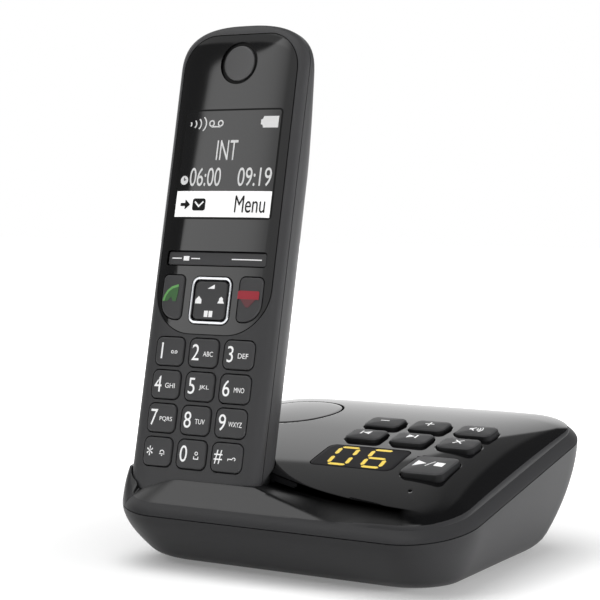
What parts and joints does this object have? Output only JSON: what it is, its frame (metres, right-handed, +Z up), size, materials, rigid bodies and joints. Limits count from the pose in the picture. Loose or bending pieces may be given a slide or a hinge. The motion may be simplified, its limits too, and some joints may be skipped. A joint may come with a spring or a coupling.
{
  "type": "cordless telephone base with answering machine",
  "caption": "Answering machine built into the charging base of a cordless telephone, with keys and a message display, and the handset standing in its cradle.",
  "frame": {"origin": "on the standing surface, under the middle of the base", "axes": "+Z up, +X to the right seen from the front, -Y towards the front, where the keys and the handset's face are turned"},
  "size_m": [0.1254, 0.113, 0.1739],
  "materials": {
    "gloss_black": "high gloss",
    "base_grey": "satin",
    "handset_grey": "satin",
    "key_grey": "satin",
    "clear_dark": "polished, smoked",
    "silver_trim": "polished",
    "circuit_board": "solder resist",
    "silicone": "matt",
    "metal": "plated",
    "rubber": "matt",
    "black_plastic": "matt",
    "cell_wrap": "shrink wrap",
    "display_block": "smooth"
  },
  "bodies": {
    "base": {"base_lower_shell": "base_grey", "base_upper_shell": "gloss_black", "display_window": "clear_dark", "display_module": "display_block", "base_main_board": "circuit_board", "base_key_board": "circuit_board", "base_key_mat": "silicone", "base_microphone": "metal", "loudspeaker": "metal", "line_socket": "black_plastic", "power_socket": "black_plastic", "charging_contact_left": "metal", "charging_contact_right": "metal", "foot_front_left": "rubber", "foot_front_right": "rubber", "foot_rear_left": "rubber", "foot_rear_right": "rubber", "base_screw_left": "metal", "base_screw_right": "metal"},
    "handset": {"handset_front_shell": "handset_grey", "handset_back_shell": "handset_grey", "handset_panel": "gloss_black", "lcd_module": "clear_dark", "earpiece_cap": "gloss_black", "earpiece_receiver": "metal", "nav_frame": "silver_trim", "handset_board": "circuit_board", "handset_key_mat": "silicone", "handset_microphone": "metal", "battery_cell_1": "cell_wrap", "battery_cell_2": "cell_wrap", "ringer_speaker": "metal", "handset_contact_left": "metal", "handset_contact_right": "metal"},
    "key_previous": {"key_previous": "key_grey"},
    "key_next": {"key_next": "key_grey"},
    "key_delete": {"key_delete": "key_grey"},
    "key_minus": {"key_minus": "key_grey"},
    "key_plus": {"key_plus": "key_grey"},
    "key_speaker": {"key_speaker": "key_grey"},
    "key_play_stop": {"key_play_stop": "key_grey"},
    "paging_key": {"paging_key": "gloss_black"},
    "key_1": {"key_1": "key_grey"},
    "key_2": {"key_2": "key_grey"},
    "key_3": {"key_3": "key_grey"},
    "key_4": {"key_4": "key_grey"},
    "key_5": {"key_5": "key_grey"},
    "key_6": {"key_6": "key_grey"},
    "key_7": {"key_7": "key_grey"},
    "key_8": {"key_8": "key_grey"},
    "key_9": {"key_9": "key_grey"},
    "key_star": {"key_star": "key_grey"},
    "key_0": {"key_0": "key_grey"},
    "key_hash": {"key_hash": "key_grey"},
    "talk_key": {"talk_key": "key_grey"},
    "end_key": {"end_key": "key_grey"},
    "soft_key_bar": {"soft_key_bar": "key_grey"},
    "nav_pivot": {"nav_pivot": "black_plastic"},
    "nav_key": {"nav_key": "key_grey"},
    "battery_cover": {"battery_cover": "handset_grey"}
  },
  "joints": [
    {"name": "handset_lift", "type": "slide", "parent": "base", "child": "handset", "axis": [0, 0.2161, 0.9764], "range_m": [0, 0.06]},
    {"name": "key_previous_press", "type": "slide", "parent": "base", "child": "key_previous", "axis": [0, 0.1951, -0.9808], "range_m": [0, 0.0008], "stiffness_N_per_m": 900, "springref_m": -0.0004},
    {"name": "key_next_press", "type": "slide", "parent": "base", "child": "key_next", "axis": [0, 0.1951, -0.9808], "range_m": [0, 0.0008], "stiffness_N_per_m": 900, "springref_m": -0.0004},
    {"name": "key_delete_press", "type": "slide", "parent": "base", "child": "key_delete", "axis": [0, 0.1951, -0.9808], "range_m": [0, 0.0008], "stiffness_N_per_m": 900, "springref_m": -0.0004},
    {"name": "key_minus_press", "type": "slide", "parent": "base", "child": "key_minus", "axis": [0, 0.1951, -0.9808], "range_m": [0, 0.0008], "stiffness_N_per_m": 900, "springref_m": -0.0004},
    {"name": "key_plus_press", "type": "slide", "parent": "base", "child": "key_plus", "axis": [0, 0.1951, -0.9808], "range_m": [0, 0.0008], "stiffness_N_per_m": 900, "springref_m": -0.0004},
    {"name": "key_speaker_press", "type": "slide", "parent": "base", "child": "key_speaker", "axis": [0, 0.1951, -0.9808], "range_m": [0, 0.0008], "stiffness_N_per_m": 900, "springref_m": -0.0004},
    {"name": "key_play_stop_press", "type": "slide", "parent": "base", "child": "key_play_stop", "axis": [0, 0.1951, -0.9808], "range_m": [0, 0.0008], "stiffness_N_per_m": 900, "springref_m": -0.0004},
    {"name": "paging_key_press", "type": "slide", "parent": "base", "child": "paging_key", "axis": [0, 0.1951, -0.9808], "range_m": [0, 0.0008], "stiffness_N_per_m": 900, "springref_m": -0.0004},
    {"name": "key_1_press", "type": "slide", "parent": "handset", "child": "key_1", "axis": [0, 0.9764, -0.2161], "range_m": [0, 0.0005], "stiffness_N_per_m": 1200, "springref_m": -0.0003},
    {"name": "key_2_press", "type": "slide", "parent": "handset", "child": "key_2", "axis": [0, 0.9764, -0.2161], "range_m": [0, 0.0005], "stiffness_N_per_m": 1200, "springref_m": -0.0003},
    {"name": "key_3_press", "type": "slide", "parent": "handset", "child": "key_3", "axis": [0, 0.9764, -0.2161], "range_m": [0, 0.0005], "stiffness_N_per_m": 1200, "springref_m": -0.0003},
    {"name": "key_4_press", "type": "slide", "parent": "handset", "child": "key_4", "axis": [0, 0.9764, -0.2161], "range_m": [0, 0.0005], "stiffness_N_per_m": 1200, "springref_m": -0.0003},
    {"name": "key_5_press", "type": "slide", "parent": "handset", "child": "key_5", "axis": [0, 0.9764, -0.2161], "range_m": [0, 0.0005], "stiffness_N_per_m": 1200, "springref_m": -0.0003},
    {"name": "key_6_press", "type": "slide", "parent": "handset", "child": "key_6", "axis": [0, 0.9764, -0.2161], "range_m": [0, 0.0005], "stiffness_N_per_m": 1200, "springref_m": -0.0003},
    {"name": "key_7_press", "type": "slide", "parent": "handset", "child": "key_7", "axis": [0, 0.9764, -0.2161], "range_m": [0, 0.0005], "stiffness_N_per_m": 1200, "springref_m": -0.0003},
    {"name": "key_8_press", "type": "slide", "parent": "handset", "child": "key_8", "axis": [0, 0.9764, -0.2161], "range_m": [0, 0.0005], "stiffness_N_per_m": 1200, "springref_m": -0.0003},
    {"name": "key_9_press", "type": "slide", "parent": "handset", "child": "key_9", "axis": [0, 0.9764, -0.2161], "range_m": [0, 0.0005], "stiffness_N_per_m": 1200, "springref_m": -0.0003},
    {"name": "key_star_press", "type": "slide", "parent": "handset", "child": "key_star", "axis": [0, 0.9764, -0.2161], "range_m": [0, 0.0005], "stiffness_N_per_m": 1200, "springref_m": -0.0003},
    {"name": "key_0_press", "type": "slide", "parent": "handset", "child": "key_0", "axis": [0, 0.9764, -0.2161], "range_m": [0, 0.0005], "stiffness_N_per_m": 1200, "springref_m": -0.0003},
    {"name": "key_hash_press", "type": "slide", "parent": "handset", "child": "key_hash", "axis": [0, 0.9764, -0.2161], "range_m": [0, 0.0005], "stiffness_N_per_m": 1200, "springref_m": -0.0003},
    {"name": "talk_key_press", "type": "slide", "parent": "handset", "child": "talk_key", "axis": [0, 0.9764, -0.2161], "range_m": [0, 0.0005], "stiffness_N_per_m": 1200, "springref_m": -0.0003},
    {"name": "end_key_press", "type": "slide", "parent": "handset", "child": "end_key", "axis": [0, 0.9764, -0.2161], "range_m": [0, 0.0005], "stiffness_N_per_m": 1200, "springref_m": -0.0003},
    {"name": "soft_key_bar_rock", "type": "hinge", "parent": "handset", "child": "soft_key_bar", "pos_m": [-0.0337, -0.02753, 0.09698], "axis": [0, 0.2161, 0.9764], "range_deg": [-1, 1], "stiffness_Nm_per_rad": 0.6},
    {"name": "nav_key_up_down", "type": "hinge", "parent": "handset", "child": "nav_pivot", "pos_m": [-0.0337, -0.0299, 0.08352], "axis": [1, 0, 0], "range_deg": [-2.5, 2.5], "stiffness_Nm_per_rad": 0.25},
    {"name": "nav_key_left_right", "type": "hinge", "parent": "nav_pivot", "child": "nav_key", "pos_m": [-0.0337, -0.0299, 0.08352], "axis": [0, 0.2161, 0.9764], "range_deg": [-2.5, 2.5], "stiffness_Nm_per_rad": 0.25},
    {"name": "battery_cover_off", "type": "slide", "parent": "handset", "child": "battery_cover", "axis": [0, 0.9764, -0.2161], "range_m": [0, 0.012]}
  ]
}
